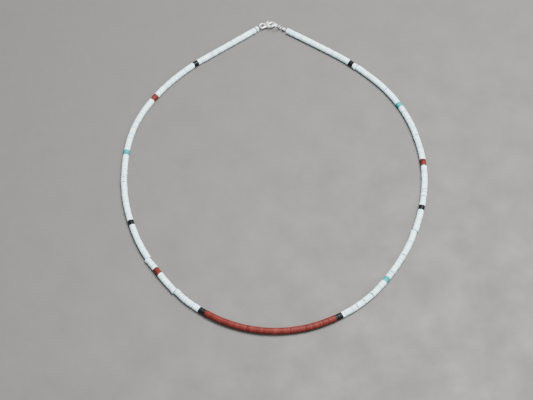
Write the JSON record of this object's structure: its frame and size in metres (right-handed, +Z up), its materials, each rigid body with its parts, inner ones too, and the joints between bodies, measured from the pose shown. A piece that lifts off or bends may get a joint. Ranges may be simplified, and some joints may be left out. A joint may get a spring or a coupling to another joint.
{
  "type": "heishi bead necklace",
  "caption": "Open loop of small drilled disc beads, white with red, turquoise and black bands and a long red centre, on a wire closed by a claw clasp and ring.",
  "frame": {"origin": "centre of the bounding box's bottom, in the middle of the loop, on the surface that the necklace lies on", "axes": "+Z up, +Y from the long red centre stretch towards the clasp, +X to the right as the picture shows it"},
  "size_m": [0.1376, 0.1662, 0.0043],
  "materials": {
    "white_shell": "satin ground shell",
    "red_stone": "soft polish",
    "turquoise": "soft polish",
    "black_stone": "polished",
    "silver": "polished silver",
    "steel_wire": "fine beading wire"
  },
  "bodies": {
    "necklace": {"beading_wire": "steel_wire", "black_bead_1": "black_stone", "black_bead_10": "black_stone", "black_bead_11": "black_stone", "black_bead_12": "black_stone", "black_bead_13": "black_stone", "black_bead_14": "black_stone", "black_bead_2": "black_stone", "black_bead_3": "black_stone", "black_bead_4": "black_stone", "black_bead_5": "black_stone", "black_bead_6": "black_stone", "black_bead_7": "black_stone", "black_bead_8": "black_stone", "black_bead_9": "black_stone", "claw_body": "silver", "crimp": "silver", "end_bead": "white_shell", "jump_ring": "silver", "lever_pin": "silver", "red_bead_1": "red_stone", "red_bead_2": "red_stone", "red_bead_3": "red_stone", "red_bead_4": "red_stone", "red_bead_5": "red_stone", "red_bead_6": "red_stone", "red_bead_7": "red_stone", "red_bead_8": "red_stone", "red_bead_9": "red_stone", "red_centre_run": "red_stone", "turquoise_bead_1": "turquoise", "turquoise_bead_2": "turquoise", "turquoise_bead_3": "turquoise", "turquoise_bead_4": "turquoise", "turquoise_bead_5": "turquoise", "turquoise_bead_6": "turquoise", "white_run_1": "white_shell", "white_run_10": "white_shell", "white_run_11": "white_shell", "white_run_12": "white_shell", "white_run_2": "white_shell", "white_run_3": "white_shell", "white_run_4": "white_shell", "white_run_5": "white_shell", "white_run_6": "white_shell", "white_run_7": "white_shell", "white_run_8": "white_shell", "white_run_9": "white_shell"},
    "lever": {"thumb_lever": "silver"}
  },
  "joints": [
    {"name": "lever_turn", "type": "hinge", "parent": "necklace", "child": "lever", "pos_m": [-0.0031, 0.08144, 0.00143], "axis": [0, 0, -1], "range_deg": [0, 18], "stiffness_Nm_per_rad": 0.002}
  ]
}
